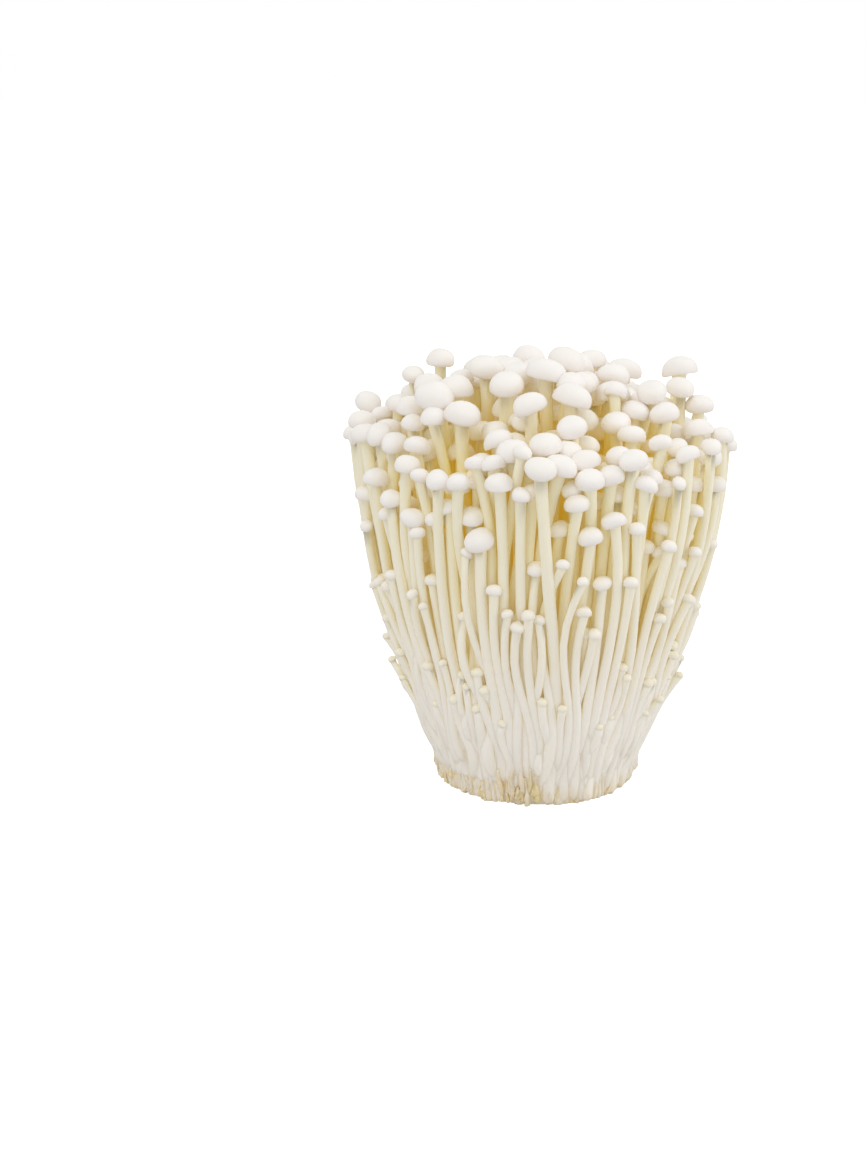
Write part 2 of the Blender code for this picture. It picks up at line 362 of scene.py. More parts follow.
def crown_fillers(rng):
    """Heads a little under the dome, spread evenly over it."""
    plot = turned(sunflower(FILLERS, FILLER_DISC), FILLER_TURN)
    top, reach = dome(plot)
    drop = rng.uniform(*FILLER_DROP, FILLERS)
    cap = (FILLER_CAP - FILLER_CAP_LOSS * reach) * rng.uniform(*FILLER_CAP_SPREAD, FILLERS)
    return extra(plot, top - drop, cap, rng, tip=FILLER_TIP)


def undergrowth(rng):
    """Short mushrooms with small heads, well under the dome."""
    plot = turned(sunflower(UNDERGROWTH, UNDERGROWTH_DISC), UNDERGROWTH_TURN)
    head = rng.uniform(*UNDERGROWTH_HEAD, UNDERGROWTH)
    cap = rng.uniform(*UNDERGROWTH_CAP, UNDERGROWTH)
    return extra(plot, head, cap, rng, tip=UNDERGROWTH_TIP)


def rim_heads(rng):
    """Small mushrooms round the rim, whose heads make the lower edge of the crown."""
    angle = GOLDEN_ANGLE * np.arange(RIM_HEADS) + RIM_TURN
    plot = around(angle, rng.uniform(*RIM_REACH, RIM_HEADS))
    share = rng.uniform(0, 1, RIM_HEADS) ** RIM_SKEW
    head = RIM_HEAD + RIM_HEAD_GAIN * share
    cap = (RIM_HEAD_CAP + RIM_HEAD_CAP_GAIN * share) * rng.uniform(*RIM_CAP_SPREAD, RIM_HEADS)
    return extra(plot, head, cap, rng, tip=RIM_TIP, outward=RIM_OUTWARD)


def pins(rng):
    """Thin pins round the outside: the lower a head stays, the smaller it is."""
    angle = GOLDEN_ANGLE * np.arange(PINS) + rng.uniform(-PIN_JITTER, PIN_JITTER, PINS)
    plot = around(angle, rng.uniform(*PIN_REACH, PINS))
    share = rng.uniform(0, 1, PINS)
    head = PIN_HEAD + PIN_HEAD_GAIN * share
    cap = (PIN_CAP + PIN_CAP_GAIN * share) * rng.uniform(*PIN_CAP_SPREAD, PINS)
    return extra(plot, head, cap, rng, PIN_TIP, PIN_OUTWARD, PIN_BOW, PIN_SWAY, PIN_ROOM)


def strays(rng):
    """Mushrooms whose heads are listed and lean out: the tip takes up what the flare leaves over."""
    listed = np.array(STRAYS, dtype=float)
    plot = around(np.radians(listed[:, 0]), listed[:, 1] / 1000)
    aim, head, cap = listed[:, 2:4] / 1000, listed[:, 4] / 1000, listed[:, 5] / 1000
    room = np.maximum(np.linalg.norm(aim, axis=1) + cap - outline(head), 0) + STRAY_ROOM
    made = extra(plot, head, cap, rng, bow=STRAY_BOW, sway=STRAY_SWAY, room=room)
    made["tip"] = aim - plot * flare(head)[:, None]
    return made


rng = np.random.default_rng(MORE_SEED)
for more in (crown_fillers(rng), undergrowth(rng), rim_heads(rng), pins(rng), strays(rng)):
    grown = {key: np.concatenate([grown[key], more[key]]) for key in grown}
place = crowd(grown, levels, MORE_AIR, MORE_ROUNDS, place)

# --- The flesh of the mushrooms -------------------------------------------------------------------
# Each mushroom is one piece of soft, moist, white flesh: a solid stem, thickest at the foot, and a button
# cap with a rolled-in margin over fine gills. Neighbours share a foot, so they come apart in tufts.

FINE = {"sides": 20, "stem": 20, "under": 3, "margin": 3, "dome": 8}
SLIM = {"sides": 12, "stem": 15, "under": 2, "margin": 2, "dome": 6}
FINE_CAP = 0.0030
FOOT_SWELL = 0.0009
SWELL_HEIGHT = 0.020
FOOT_TRIM = 0.45
FOOT_WIDEST = 0.0014
SLIM_HEIGHT = 0.024
SWELL_SPREAD = (0.7, 1.3)
SETTLE = 0.0040
INNER_SOLE = 0.0050
OUTER_SOLE = (0.0002, 0.0012)
CREASE_SOLE = (-0.0004, 0.0006)
OUTER_FOOT = 0.0240
CREASE_ANGLE = 3.6
CREASE_SPAN = 0.80
CREASE_EDGE = 0.05
CREASE_HEIGHT, CREASE_RISE = 0.0046, 0.0025
CREASE_TURN, CREASE_ENDS = 1.2, (-0.5, 1.2)

YOUTH, YOUTH_SPREAD = 0.35, 0.22
GROWN_CAP, YOUTH_FADE = 0.0050, 0.0035
SAG, YOUNG_SAG = 0.08, 0.10
ROLL, YOUNG_ROLL = 0.17, 0.30
DOME_RISE, YOUNG_DOME_LOSS = 0.86, 0.10
DOME_POWER = 0.9
LIP, YOUNG_LIP_LOSS = 0.94, 0.22
CAP_POLE = 1e-3
CAP_LIFT = 0.03
UPRIGHT = 0.75
CAP_TILT = 0.18
LOBE_SHARE = 1.5
LOBES = (0.06, 0.030)
DROOPS = (0.10, 0.04)
CAP_SHADE_HEIGHT = 0.75

NECK_ROOM = 1.02
RING_EASE = 1.25
STEM_FULL, STEM_TAPER = 0.96, 0.08
NECK_FLARE, NECK_START, NECK_SPAN = 0.12, 0.92, 0.08
SOLE_SHARE = 0.6
WAVE, WAVE_PITCH = 0.03, 380
FLATNESS = (0.01, 0.08)
# The painted shade on a stem's sides that face into the bunch: its value where a side faces across, and how
# fast it grows as the side turns inwards.
INWARD_SHADE_START, INWARD_SHADE_GAIN = 0.5, 0.9


def crease_height(angle):
    """The height of the crease that bears the stems on the butt's left side: it rises from left to front."""
    way = np.clip((angle % (2 * math.pi) - math.pi) / CREASE_TURN, *CREASE_ENDS)
    return CREASE_HEIGHT + CREASE_RISE * way


def on_the_left(angle):
    """1 where the butt has that crease, and 0 on the rest of its side."""
    off = np.abs((angle - CREASE_ANGLE + math.pi) % (2 * math.pi) - math.pi)
    return 1 / (1 + np.exp((off - CREASE_SPAN) / CREASE_EDGE))


def sole_height(foot, rng):
    """How far down a stem goes: an outer one to the cut, or to the left's crease, and the rest less far."""
    angle = np.arctan2(foot[1], foot[0])
    if np.hypot(*foot) < OUTER_FOOT:
        return INNER_SOLE
    if on_the_left(angle) > 0.5:
        return float(crease_height(angle)) + rng.uniform(*CREASE_SOLE)
    return rng.uniform(*OUTER_SOLE)


def cap_profile(detail, stem, young):
    """A cap's outline from the stem outwards and over the dome, as reach and rise in cap radii.

    The underside sags from the stem to the margin, the margin is a quarter of an ellipse rolled under, and
    the dome is a quarter of a superellipse up to the pole. A young cap is a ball drawn in to its stem.
    """
    sag, roll = SAG + YOUNG_SAG * young, ROLL + YOUNG_ROLL * young
    height = DOME_RISE - YOUNG_DOME_LOSS * young
    lip = max(LIP - YOUNG_LIP_LOSS * young, 0.5 + 0.5 * stem)
    out = np.linspace(0, 1, detail["under"], endpoint=False)
    bend = np.linspace(0, math.pi / 2, detail["margin"], endpoint=False)
    turn = np.linspace(0, math.pi / 2, detail["dome"])
    reach = [stem + (lip - stem) * out, lip + (1 - lip) * np.sin(bend), np.cos(turn) ** DOME_POWER]
    rise = [-sag * np.sin(out * math.pi / 2), -sag + roll * (1 - np.cos(bend))]
    rise.append(roll - sag + height * np.sin(turn))
    return np.maximum(np.concatenate(reach), CAP_POLE), np.concatenate(rise)


def unit(vectors):
    """Vectors made one long."""
    return vectors / np.linalg.norm(vectors, axis=-1, keepdims=True)


def across(axis):
    """Two directions square to each axis, the first as near to X as can be."""
    side = unit(np.array([1.0, 0.0, 0.0]) - axis[..., :1] * axis)
    return side, np.cross(axis, side)


def settled_by(height):
    """How much of its slope a stem has still gone inwards with, below the first level: less and less."""
    return SETTLE * (1 - np.exp(-np.maximum(levels[0] - height, 0) / SETTLE))


def stem_line(index, height):
    """A stem's middle line at these heights: below the first level it goes on inwards, and rights itself."""
    x = np.interp(height, levels, place[index, :, 0])
    y = np.interp(height, levels, place[index, :, 1])
    slope = (place[index, 1] - place[index, 0]) / LEVEL_STEP
    below = settled_by(height)
    return np.stack([x - slope[0] * below, y - slope[1] * below, height], axis=1)


def skin(height):
    """The reach of the outer stems' outer faces at this height, their swollen feet counted in."""
    slope = (outline(levels[1]) - outline(levels[0])) / LEVEL_STEP
    swell = FOOT_SWELL * np.exp(-((np.maximum(height - levels[0], 0) / SWELL_HEIGHT) ** 2))
    return outline(np.maximum(height, levels[0])) - slope * settled_by(height) + swell


def ringed(line, reach, turn, side, up):
    """Rings of points round a line: reach holds each ring's radius at each turn."""
    return (
        line[:, None, :]
        + (reach * np.cos(turn))[:, :, None] * np.reshape(side, (-1, 1, 3))
        + (reach * np.sin(turn))[:, :, None] * np.reshape(up, (-1, 1, 3))
    )


def mushroom(index, rng):
    """One mushroom as a grid of rings by sides, with what its flesh needs to know at every point.

    The stem's radius tapers up from its swollen foot. Each ring stands square to the middle line, is a bit
    flattened, and moves in and out by slow waves. The cap is turned from its profile about a nodding axis.
    """
    head, cap, stem = (float(grown[key][index]) for key in ("head", "cap", "stem"))
    detail = FINE if cap > FINE_CAP else SLIM
    sides = detail["sides"]
    young = YOUTH + (GROWN_CAP - cap) / YOUTH_FADE + rng.normal(0, YOUTH_SPREAD)
    reach, rise = cap_profile(detail, NECK_ROOM * stem / cap, float(np.clip(young, 0, 1)))
    neck = head - rise[-1] * cap
    sole = sole_height(place[index, 0], rng)
    along = np.linspace(0, 1, detail["stem"])
    height = sole + (neck - sole) * along**RING_EASE
    line = stem_line(index, height)
    tangent = unit(np.gradient(line, axis=0))

    above = height - levels[0]
    swell = FOOT_SWELL * np.exp(-((np.maximum(above, 0) / SWELL_HEIGHT) ** 2))
    swell = swell * rng.uniform(*SWELL_SPREAD)
    foot = FOOT_TRIM * float(grown["foot"][index]) * np.clip(1 - above / FOOT_HEIGHT, 0, 1)
    slim = min(stem, FOOT_WIDEST)
    slim = slim + (stem - slim) * np.clip(above / SLIM_HEIGHT, 0, 1)
    radius = np.maximum(slim * (STEM_FULL - STEM_TAPER * along) + swell, foot)
    radius = radius * (1 + NECK_FLARE * np.clip((along - NECK_START) / NECK_SPAN, 0, 1))
    radius[0] = SOLE_SHARE * radius[0]

    turn = np.linspace(0, 2 * math.pi, sides, endpoint=False)
    phase = rng.uniform(0, 2 * math.pi, 6)
    wave = 1 + WAVE * np.sin(height[:, None] * WAVE_PITCH + phase[0] + turn)
    wave = wave + rng.uniform(*FLATNESS) * np.cos(2 * turn + phase[1])
    stem_reach = radius[:, None] * wave
    stem_points = ringed(line, stem_reach, turn, *across(tangent))
    # Which way each point of a stem faces, out of the bunch or into it; the inward sides get a painted shade.
    away = unit(line[:, :2])
    facing = (((stem_points - line[:, None, :])[:, :, :2]) * away[:, None, :]).sum(axis=2) / stem_reach

    axis = UPRIGHT * np.array([0, 0, 1]) + (1 - UPRIGHT) * tangent[-1]
    axis = unit(axis + np.append(rng.normal(0, CAP_TILT, 2), 0))
    cap_line = line[-1] + np.outer(rise + CAP_LIFT, axis) * cap
    edge = np.minimum(1, LOBE_SHARE * reach)[:, None]
    lobes = LOBES[0] * np.cos(2 * turn + phase[2]) + LOBES[1] * np.cos(3 * turn + phase[3])
    lobes = 1 + edge * lobes
    cap_reach = cap * reach[:, None] * lobes
    cap_points = ringed(cap_line, cap_reach, turn, *across(axis))
    droop = DROOPS[0] * np.cos(turn + phase[4]) + DROOPS[1] * np.cos(2 * turn + phase[5])
    cap_points = cap_points + (cap * reach[:, None] ** 2 * droop)[:, :, None] * axis

    straight = np.concatenate([height, neck + rise * cap])
    reach_all = np.concatenate([stem_reach, cap_reach])
    grain = [reach_all * np.cos(turn), reach_all * np.sin(turn), np.repeat(straight[:, None], sides, 1)]
    stem_rings, cap_rings = len(height), len(rise)
    under = np.zeros(stem_rings + cap_rings)
    under[stem_rings : stem_rings + detail["under"] + 1] = 1
    # The next mask is 1 low on a cap and fades out up it, for a painted shade.
    margin = np.concatenate([np.zeros(stem_rings), np.clip(1 - (rise - rise[0]) / CAP_SHADE_HEIGHT, 0, 1)])
    return {
        "points": np.concatenate([stem_points, cap_points]),
        "grain": np.stack(grain, axis=2) + rng.uniform(0, 1, 3),
        "on_cap": np.repeat(np.repeat((0.0, 1.0), (stem_rings, cap_rings))[:, None], sides, 1),
        "under": np.repeat(under[:, None], sides, 1),
        "margin": np.repeat(margin[:, None], sides, 1),
        "inward_shade": np.concatenate([np.clip(INWARD_SHADE_START - INWARD_SHADE_GAIN * facing, 0, 1), np.zeros((cap_rings, sides))]),
        "rise": np.concatenate([stem_points, cap_points])[:, :, 2] / CROWN_HEIGHT,
        "shade": np.full((stem_rings + cap_rings, sides), rng.uniform(0, 1)),
    }


def grid_faces(rings, sides, start):
    """The quads of a closed tube of rings, and its two end faces, as one list of corner numbers."""
    ring, side = np.meshgrid(np.arange(rings - 1), np.arange(sides), indexing="ij")
    turned_on = (side + 1) % sides
    corners = [ring * sides + side, ring * sides + turned_on]
    corners += [(ring + 1) * sides + turned_on, (ring + 1) * sides + side]
    faces = (np.stack(corners, axis=2).reshape(-1, 4) + start).tolist()
    first_end = [start + side for side in reversed(range(sides))]
    last_end = [start + (rings - 1) * sides + side for side in range(sides)]
    return faces + [first_end, last_end]


def corner_grid(rings, sides):
    """Each quad corner's ring and side numbers, in the order of the faces, with the last side not wrapped."""
    ring, side = np.meshgrid(np.arange(rings - 1), np.arange(sides), indexing="ij")
    corner_side = np.stack([side, side + 1, side + 1, side], axis=2)
    corner_ring = np.stack([ring, ring, ring + 1, ring + 1], axis=2)
    return corner_ring, corner_side


STRIP_START, STRIP_WIDTH = 0.04, 0.92
STRIP_FOOT, STRIP_HEIGHT = 0.01, 0.93
END_PLACES = ((0.25, 0.97), (0.75, 0.97))
END_WIDTH, END_HEIGHT = 0.2, 0.02


def strip_map(rings, sides, number, count):
    """A tube's place in the baked picture: its own upright strip, unrolled, with its two ends above."""
    left, wide = (number + STRIP_START) / count, STRIP_WIDTH / count
    corner_ring, corner_side = corner_grid(rings, sides)
    strip = [left + wide * corner_side / sides, STRIP_FOOT + STRIP_HEIGHT * corner_ring / (rings - 1)]
    strip = np.stack(strip, axis=3)
    turn = np.linspace(0, 2 * math.pi, sides, endpoint=False)
    ends = []
    for over, up in END_PLACES:
        ends.append(np.array([left + wide * over, up]) + around(turn, 1) * (END_WIDTH * wide, END_HEIGHT))
    return np.concatenate([strip.reshape(-1, 2), *ends])


def tubes_mesh(name, tubes):
    """Closed tubes in one mesh, with their values as attributes and a strip of the baked map for each."""
    faces, maps, spokes, start = [], [], [], 0
    for number, made in enumerate(tubes):
        rings, sides = made["points"].shape[:2]
        faces += grid_faces(rings, sides, start)
        maps.append(strip_map(rings, sides, number, len(tubes)))
        spokes.append(np.append(corner_grid(rings, sides)[1].ravel() / sides, np.zeros(2 * sides)))
        start += rings * sides
    mesh = bpy.data.meshes.new(name)
    mesh.from_pydata(np.concatenate([made["points"].reshape(-1, 3) for made in tubes]).tolist(), [], faces)
    for key in tubes[0]:
        values = np.concatenate([made[key].ravel() for made in tubes])
        if key == "grain":
            mesh.attributes.new(key, "FLOAT_VECTOR", "POINT").data.foreach_set("vector", values)
        elif key != "points":
            mesh.attributes.new(key, "FLOAT", "POINT").data.foreach_set("value", values)
    mesh.attributes.new("spoke", "FLOAT", "CORNER").data.foreach_set("value", np.concatenate(spokes))
    mesh.uv_layers.new(name="OFBake").data.foreach_set("uv", np.concatenate(maps).ravel())
    mesh.polygons.foreach_set("use_smooth", np.ones(len(faces), dtype=bool))
    mesh.update()
    return mesh


# How deep a point is in the bunch: the mask of the flesh's painted gold shade and of its painted glow.
SKIN_DEPTH, HEART_DEPTH = 0.002, 0.017
LIT_CROWN, CROWN_FADE = 0.011, 0.020


def depth_inside(points):
    """How deep points are in the bunch, from 0 at the outline and on the dome to 1 in the heart of it."""
    height = points[..., 2]
    reach = np.linalg.norm(points[..., :2], axis=-1)
    inward = np.clip((outline(height) - SKIN_DEPTH - reach) / HEART_DEPTH, 0, 1)
    middle = reach / flare(height) / BUTT_RADIUS
    top = CROWN_HEIGHT - DOME_DROP * np.clip(middle, 0, WIDEST_REACH) ** 2
    below = np.clip((top - LIT_CROWN - height) / CROWN_FADE, 0, 1)
    return inward * below


NODES_WIDE, NODE_STEP = 10, 260


def node(tree, kind, **values):
    """Adds a shader node in the next place of a lattice, and sets its properties."""
    row, column = divmod(len(tree.nodes), NODES_WIDE)
    made = tree.nodes.new(kind)
    made.location = (NODE_STEP * (column - NODES_WIDE), -NODE_STEP * row)
    for key, value in values.items():
        setattr(made, key, value)
    return made


def feed(tree, sockets, values):
    """Gives each input its value: another node's output, or a number or a colour."""
    for socket, value in zip(sockets, values):
        if isinstance(value, bpy.types.NodeSocket):
            tree.links.new(value, socket)
        else:
            socket.default_value = value


def plug(tree, made, values):
    """Gives each input that is named its value."""
    feed(tree, [made.inputs[name] for name in values], values.values())


def mix_colours(tree, factor, first, second):
    """A Mix node between two colours."""
    made = node(tree, "ShaderNodeMix", data_type="RGBA")
    feed(tree, (made.inputs[0], made.inputs[6], made.inputs[7]), (factor, first, second))
    return made.outputs[2]


def combine(tree, operation, first, second=0.0):
    """A Math node."""
    made = node(tree, "ShaderNodeMath", operation=operation)
    feed(tree, made.inputs, (first, second))
    return made.outputs[0]


def times(tree, first, second):
    """The product of two values."""
    return combine(tree, "MULTIPLY", first, second)


def ramp(tree, value, low, high, out_low=0.0, out_high=1.0):
    """Maps a value's stretch from low to high onto the outputs, held at both ends."""
    made = node(tree, "ShaderNodeMapRange")
    feed(tree, made.inputs, (value, low, high, out_low, out_high))
    return made.outputs["Result"]


def attribute(tree, name, output="Fac"):
    """Reads a value that the mesh carries at its points."""
    return node(tree, "ShaderNodeAttribute", attribute_name=name).outputs[output]


def noise(tree, vector, scale, detail):
    """A Noise node's even grey cloud, 0 to 1."""
    made = node(tree, "ShaderNodeTexNoise")
    plug(tree, made, {"Vector": vector, "Scale": scale, "Detail": detail})
    return made.outputs["Fac"]


def emboss(tree, shader, relief, strength, distance):
    """Raises and sinks the surface by the relief, with a Bump node."""
    bump = node(tree, "ShaderNodeBump")
    plug(tree, bump, {"Strength": strength, "Distance": distance, "Height": relief})
    tree.links.new(bump.outputs["Normal"], shader.inputs["Normal"])


def new_material(name):
    """A material with its shader, whose glow is too faint to be sampled as a lamp."""
    material = bpy.data.materials.new(name)
    material.use_nodes = True
    material.cycles.emission_sampling = "NONE"
    return material, material.node_tree, material.node_tree.nodes["Principled BSDF"]


def put(name, mesh, material):
    """Puts a mesh into the scene, at the origin."""
    piece = bpy.data.objects.new(name, mesh)
    bpy.context.scene.collection.objects.link(piece)
    mesh.materials.append(material)
    return piece


def linear(red, green, blue):
    """A shade given as it looks on a screen, 0 to 255, turned to scene light."""
    share = np.array([red, green, blue]) / 255
    light = np.where(share <= 0.04045, share / 12.92, ((share + 0.055) / 1.055) ** 2.4)
    return (*light.tolist(), 1.0)


FIBRE_STRETCH = (1.0, 1.0, 0.06)
MOTTLE_FINENESS = 380.0


def fibre_group():
    """The fungal fibres as a group: long streaks along the grain, and a soft mottle over it, both 0 to 1."""
    group = bpy.data.node_groups.new("fungal_fibres", "ShaderNodeTree")
    group.interface.new_socket("Grain", in_out="INPUT", socket_type="NodeSocketVector")
    group.interface.new_socket("Fineness", in_out="INPUT", socket_type="NodeSocketFloat")
    group.interface.new_socket("Streaks", in_out="OUTPUT", socket_type="NodeSocketFloat")
    group.interface.new_socket("Mottle", in_out="OUTPUT", socket_type="NodeSocketFloat")
    inputs = node(group, "NodeGroupInput")
    outputs = node(group, "NodeGroupOutput")
    stretch = node(group, "ShaderNodeMapping")
    stretch.inputs["Scale"].default_value = FIBRE_STRETCH
    group.links.new(inputs.outputs["Grain"], stretch.inputs["Vector"])
    streaks = noise(group, stretch.outputs["Vector"], inputs.outputs["Fineness"], 3.0)
    mottle = noise(group, inputs.outputs["Grain"], MOTTLE_FINENESS, 4.0)
    feed(group, outputs.inputs, (streaks, mottle))
    return group


fungal_fibres = fibre_group()

CAP_WHITE = linear(246, 243, 241)
CAP_CREAM = linear(245, 241, 234)
STEM_WHITE = linear(247, 242, 235)
# The stems' cream up high, also darker as a painted shade under the crown; the fibre streaks take it too.
STEM_CREAM_AND_SHADE = linear(241, 235, 213)
# Painted shade: the gold that the flesh turns deep in the bunch.
PAINTED_GOLD_SHADE = linear(243, 231, 140)
# Painted light: the colours of the flesh's glow, cream outside and gold deep in the bunch.
PAINTED_GLOW_CREAM = linear(255, 240, 200)
PAINTED_GLOW_GOLD = linear(255, 212, 62)
GILL_CREAM = linear(243, 237, 214)
# Painted shade: the grey of a cap's lower part, towards its margin.
MARGIN_SHADE_GREY = linear(232, 226, 225)
# Painted shade: the cream of a stem's sides that face into the bunch.
INWARD_SHADE_CREAM = linear(247, 241, 206)
PIN_CREAM = linear(240, 234, 212)
FOOT_TAN = linear(231, 216, 186)

STEM_FIBRES = 2600.0
CREAM_AND_SHADE_RISE = (0.22, 0.70)
MARGIN_SHADE, SIDE_SHADE = 0.6, 0.6
LOW_HEADS, LOW_HEAD_SHADE = (0.040, 0.085), 0.8
GILLS = 44
DRIED_RISE = 0.055
# The painted gold shade: the power of the depth that it follows, and its share on outward sides and on caps.
GOLD_SHADE_POWER = 0.85
GOLD_SHADE_OUTSIDE, GOLD_SHADE_ON_CAP = 0.55, 0.7
GILL_RELIEF = 1.5
FLESH_RELIEF = (0.22, 0.00022)
# The strength of the painted glow, from the outside to deep in the bunch.
FLESH_PAINTED_GLOW = (0.042, 0.070)
FLESH_ROUGHNESS = (0.38, 0.55)
FLESH_GLOSS = 0.30
TRANSLUCENCE = 0.35
LIGHT_REACH, LIGHT_TINT = 0.0012, (1.0, 0.96, 0.90)


def flesh_material():
    """Mushroom flesh: white caps, stems that go from white at the foot to cream, and painted gold shade deep
    in.

    Fine fibres run up the stem and over the cap, read from the grain, which is the mushroom set straight.
    A stem is creamier on its sides that face into the bunch, and darker up under the crown: both painted
    shade.
    A cap is greyer low on it, towards its margin, a painted shade, and creamier low down. Light passes a
    little way into the flesh, and the flesh glows a little, golder deep in the bunch: painted light that
    lifts its shade, too faint to be a lamp. The ends of the feet have dried to tan, in streaks.
    """
    material, tree, shader = new_material("mushroom_flesh")
    names = ("on_cap", "rise", "depth", "shade", "under", "spoke", "inward_shade", "margin")
    read = {name: attribute(tree, name) for name in names}
    on_cap, rise, depth, inward_shade = (read[name] for name in ("on_cap", "rise", "depth", "inward_shade"))
    place_in_object = node(tree, "ShaderNodeTexCoord").outputs["Object"]
    parts = node(tree, "ShaderNodeSeparateXYZ")
    plug(tree, parts, {"Vector": place_in_object})
    fibres = node(tree, "ShaderNodeGroup", node_tree=fungal_fibres)
    feed(tree, fibres.inputs, (attribute(tree, "grain", "Vector"), STEM_FIBRES))
    streaks, mottle = fibres.outputs

    # Stems go from white at the foot to cream up high, darker there too: partly their own cream, partly
    # painted shade under the crown.
    cream_and_shade = ramp(tree, rise, *CREAM_AND_SHADE_RISE)
    stem = mix_colours(tree, cream_and_shade, STEM_WHITE, STEM_CREAM_AND_SHADE)
    # Painted shade: a stem is creamier on its sides that face into the bunch.
    stem = mix_colours(tree, times(tree, inward_shade, SIDE_SHADE), stem, INWARD_SHADE_CREAM)
    tired = times(tree, read["shade"], mottle)
    cap = mix_colours(tree, tired, CAP_WHITE, CAP_CREAM)
    # Painted shade: a cap is greyer low on it, towards its margin.
    margin = times(tree, read["margin"], MARGIN_SHADE)
    cap = mix_colours(tree, margin, cap, MARGIN_SHADE_GREY)
    low_head = ramp(tree, parts.outputs["Z"], *LOW_HEADS, LOW_HEAD_SHADE, 0.0)
    cap = mix_colours(tree, low_head, cap, PIN_CREAM)
    body = mix_colours(tree, on_cap, stem, cap)

    gill_wave = times(tree, read["spoke"], 2 * math.pi * GILLS)
    gill_wave = combine(tree, "SINE", gill_wave)
    gills = ramp(tree, gill_wave, -1.0, 1.0, 0.5, 1.0)
    gills = times(tree, read["under"], gills)
    body = mix_colours(tree, gills, body, GILL_CREAM)
    streaked = ramp(tree, streaks, 0.35, 0.75, 0.0, 0.14)
    body = mix_colours(tree, streaked, body, STEM_CREAM_AND_SHADE)
    foot = ramp(tree, rise, DRIED_RISE, 0.0)
    foot = times(tree, foot, ramp(tree, streaks, 0.35, 0.60, 0.25, 1.0))
    body = mix_colours(tree, foot, body, FOOT_TAN)

    # Painted shade: deep in the bunch the flesh turns gold, most on the sides that face into it, less on
    # caps.
    inwards = ramp(tree, inward_shade, 0.0, 0.8, GOLD_SHADE_OUTSIDE, 1.0)
    off_cap = ramp(tree, on_cap, 0.0, 1.0, 1.0, GOLD_SHADE_ON_CAP)
    inwards = times(tree, inwards, off_cap)
    gold_shade = times(tree, combine(tree, "POWER", depth, GOLD_SHADE_POWER), inwards)
    body = mix_colours(tree, gold_shade, body, PAINTED_GOLD_SHADE)
    relief = combine(tree, "ADD", streaks, mottle)
    relief = combine(tree, "ADD", relief, times(tree, gills, GILL_RELIEF))
    emboss(tree, shader, relief, *FLESH_RELIEF)
    plug(tree, shader, {
        "Base Color": body,
        # Painted light: the flesh glows, more and golder deep in the bunch, to lift its shade.
        "Emission Color": mix_colours(tree, depth, PAINTED_GLOW_CREAM, PAINTED_GLOW_GOLD),
        "Emission Strength": ramp(tree, depth, 0.0, 1.0, *FLESH_PAINTED_GLOW),
        "Roughness": ramp(tree, mottle, 0.3, 0.7, *FLESH_ROUGHNESS),
        "Subsurface Weight": TRANSLUCENCE,
        "Subsurface Radius": LIGHT_TINT,
        "Subsurface Scale": LIGHT_REACH,
        "Specular IOR Level": FLESH_GLOSS,
    })
    return material


flesh = flesh_material()
ordered = []
for ring in TUFT_RINGS:
    ordered += [name for name in TUFT_NAMES if name.startswith(ring)]
rng = np.random.default_rng(MORE_SEED + 1)
for number, name in enumerate(ordered):
    made = [mushroom(index, rng) for index in np.flatnonzero(grown["tuft"] == number)]
    for one in made:
        one["depth"] = depth_inside(one["points"])
    piece = put(f"mushrooms_of_{name}", tubes_mesh(name + "_mesh", made), flesh)
    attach(piece, "root")
    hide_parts(name)

# --- The butt -------------------------------------------------------------------------------------
# The cake of pressed feet that all stems share, sawn off level. Its side keeps the ridge of every outer
# foot, with a dried tan crease between each two, and its cut face shows the stems' ends packed like cells.

FEET = 104
SHALLOW, PROUD = 0.0002, 0.0009
COLUMNS = 720
WALL_ROWS = 26
FACE_ROWS = 44
TOP_ROWS = 8
WALL_TOP = 0.0130
WALL_EASE = 1.2
SHOULDER = 0.0070
SHOULDER_INSET, SHOULDER_EASE = 0.0026, 1.3
INSET, LEFT_SWELL = 0.0012, 0.0006
FOOT_WIDTHS = (0.5, 1.5)
RIDGE_POWER = 2.2
WANDER = (0.020, 0.010, 0.018)
CREASE_WAVES = (0.0005, 0.0003)
FIBRE_WAVES = (0.00006, 0.00005)
RAGGED = 0.0012
RAGGED_RIGHT = 0.4
EDGE_ROUND, EDGE_HEIGHT = 0.0005, 0.0006
GROOVE_DEPTH, GROOVE_WIDTH = 0.0003, 0.0007
DRIED_EASE, DRIED_HEIGHT, DRIED_ABOVE = 0.8, 0.003, 0.55
GROOVE_DRIED = 0.8

CELLS = 330
CELL_DISC, CELL_JITTER = 0.0308, 0.00035
CELL_DEPTH = 0.00025
SEAM = 0.0008
SEAM_DEPTH, SEAM_EASE, SEAM_DRIED = 0.00045, 1.5, 0.85
LEVEL_EDGE = 12
POLE = 0.0001


